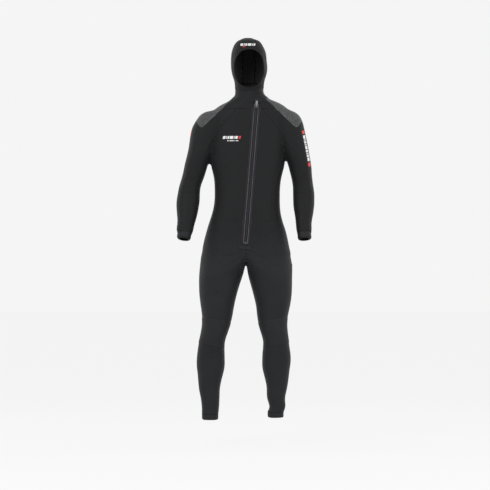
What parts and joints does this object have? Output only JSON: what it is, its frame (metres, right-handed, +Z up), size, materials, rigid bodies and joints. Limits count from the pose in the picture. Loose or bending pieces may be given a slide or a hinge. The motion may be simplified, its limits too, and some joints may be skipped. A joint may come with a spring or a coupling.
{
  "type": "full hooded wetsuit",
  "caption": "Full-length neoprene diving suit with attached hood, diagonal front zip, grey shoulder yokes, knee pads and sealed wrists and ankles, held as worn.",
  "frame": {"origin": "centre of the waist, on the wearer's vertical axis", "axes": "+Z up towards the hood, front of the suit faces -Y, +X towards the wearer's left"},
  "size_m": [0.621, 0.2391, 1.7174],
  "materials": {
    "neoprene_black": "matt black nylon jersey laminated on closed-cell neoprene foam",
    "neoprene_charcoal": "charcoal stretch jersey laminated on neoprene foam",
    "yoke_grey": "mid-grey jersey with a fine embossed dot grid",
    "pad_rubber": "abrasion-resistant pad, matt",
    "seal_smoothskin": "smooth-skin neoprene, satin",
    "zip_tape": "woven polyester tape, rubber coated",
    "zip_tooth": "moulded acetal, satin",
    "zip_metal": "coated zip slider, satin",
    "pull_grey": "moulded light-grey grip, matt",
    "print_white": "white transfer print, matt",
    "print_red": "red transfer print, matt"
  },
  "bodies": {
    "torso": {"collar": "neoprene_black", "right_chest_panel": "neoprene_black", "left_chest_panel": "neoprene_black", "upper_back": "neoprene_black", "lower_back": "neoprene_charcoal", "right_side_panel": "neoprene_black", "left_side_panel": "neoprene_black", "right_shoulder_yoke": "yoke_grey", "left_shoulder_yoke": "yoke_grey", "right_pelvis": "neoprene_charcoal", "left_pelvis": "neoprene_charcoal", "right_zip_tape": "zip_tape", "left_zip_tape": "zip_tape", "zip_teeth": "zip_tooth", "zip_bottom_box": "zip_tooth", "zip_top_stops": "zip_tooth", "zip_underflap": "pad_rubber", "zip_bottom_patch": "pad_rubber", "zip_garage": "pad_rubber", "chest_badge": "print_white"},
    "hood": {"neck": "neoprene_black", "face_band": "neoprene_black", "hood_crown": "neoprene_black", "right_hood_side": "neoprene_black", "left_hood_side": "neoprene_black", "chin_flap": "neoprene_black", "hood_badge": "print_white"},
    "slider": {"zip_slider": "zip_metal", "slider_pin": "zip_metal"},
    "pull": {"zip_pull": "pull_grey"},
    "right_upper_arm": {"right_sleeve_head": "neoprene_black", "right_upper_sleeve": "neoprene_black", "right_arm_badge": "print_red"},
    "right_lower_arm": {"right_elbow": "neoprene_black", "right_forearm": "neoprene_black", "right_wrist_cuff": "pad_rubber", "right_wrist_seal": "seal_smoothskin"},
    "right_upper_leg": {"right_hip": "neoprene_charcoal", "right_thigh": "neoprene_charcoal"},
    "right_shin": {"right_knee": "neoprene_charcoal", "right_knee_pad": "pad_rubber", "right_lower_leg": "neoprene_charcoal", "right_ankle_cuff": "pad_rubber", "right_ankle_seal": "seal_smoothskin"},
    "left_upper_arm": {"left_sleeve_head": "neoprene_black", "left_upper_sleeve": "neoprene_black", "left_arm_badge": "print_white"},
    "left_lower_arm": {"left_elbow": "neoprene_black", "left_forearm": "neoprene_black", "left_wrist_cuff": "pad_rubber", "left_wrist_seal": "seal_smoothskin"},
    "left_upper_leg": {"left_hip": "neoprene_charcoal", "left_thigh": "neoprene_charcoal"},
    "left_shin": {"left_knee": "neoprene_charcoal", "left_knee_pad": "pad_rubber", "left_lower_leg": "neoprene_charcoal", "left_ankle_cuff": "pad_rubber", "left_ankle_seal": "seal_smoothskin"}
  },
  "joints": [
    {"name": "hood_nod", "type": "hinge", "parent": "torso", "child": "hood", "pos_m": [0.011, 0.015, 0.483], "axis": [-1, 0, 0], "range_deg": [-20, 25], "stiffness_Nm_per_rad": 12, "deforming": ["neck"]},
    {"name": "zip_slide", "type": "slide", "parent": "torso", "child": "slider", "axis": [-0.0798, -0.035, -0.9962], "range_m": [0, 0.59]},
    {"name": "pull_swing", "type": "hinge", "parent": "slider", "child": "pull", "pos_m": [0.04267, -0.09219, 0.41533], "axis": [0.9968, 0, -0.0798], "range_deg": [0, 175]},
    {"name": "right_shoulder_raise", "type": "hinge", "parent": "torso", "child": "right_upper_arm", "pos_m": [-0.222, 0, 0.195], "axis": [0, 1, 0], "range_deg": [0, 55], "stiffness_Nm_per_rad": 25, "deforming": ["right_sleeve_head", "right_arm_badge"]},
    {"name": "right_elbow_bend", "type": "hinge", "parent": "right_upper_arm", "child": "right_lower_arm", "pos_m": [-0.247, 0.005, 0.065], "axis": [-1, 0, 0], "range_deg": [-12, 85], "stiffness_Nm_per_rad": 10, "deforming": ["right_elbow"]},
    {"name": "right_hip_bend", "type": "hinge", "parent": "torso", "child": "right_upper_leg", "pos_m": [-0.105, 0.005, -0.215], "axis": [-1, 0, 0], "range_deg": [-10, 70], "stiffness_Nm_per_rad": 30, "deforming": ["right_hip"]},
    {"name": "right_knee_bend", "type": "hinge", "parent": "right_upper_leg", "child": "right_shin", "pos_m": [-0.147, 0.005, -0.6], "axis": [1, 0, 0], "range_deg": [0, 90], "stiffness_Nm_per_rad": 15, "deforming": ["right_knee", "right_knee_pad"]},
    {"name": "left_shoulder_raise", "type": "hinge", "parent": "torso", "child": "left_upper_arm", "pos_m": [0.23, 0, 0.195], "axis": [0, -1, 0], "range_deg": [0, 55], "stiffness_Nm_per_rad": 25, "deforming": ["left_sleeve_head", "left_arm_badge"]},
    {"name": "left_elbow_bend", "type": "hinge", "parent": "left_upper_arm", "child": "left_lower_arm", "pos_m": [0.249, 0.005, 0.065], "axis": [-1, 0, 0], "range_deg": [-12, 85], "stiffness_Nm_per_rad": 10, "deforming": ["left_elbow"]},
    {"name": "left_hip_bend", "type": "hinge", "parent": "torso", "child": "left_upper_leg", "pos_m": [0.096, 0.005, -0.215], "axis": [-1, 0, 0], "range_deg": [-10, 70], "stiffness_Nm_per_rad": 30, "deforming": ["left_hip"]},
    {"name": "left_knee_bend", "type": "hinge", "parent": "left_upper_leg", "child": "left_shin", "pos_m": [0.124, 0.005, -0.6], "axis": [1, 0, 0], "range_deg": [0, 90], "stiffness_Nm_per_rad": 15, "deforming": ["left_knee", "left_knee_pad"]}
  ]
}
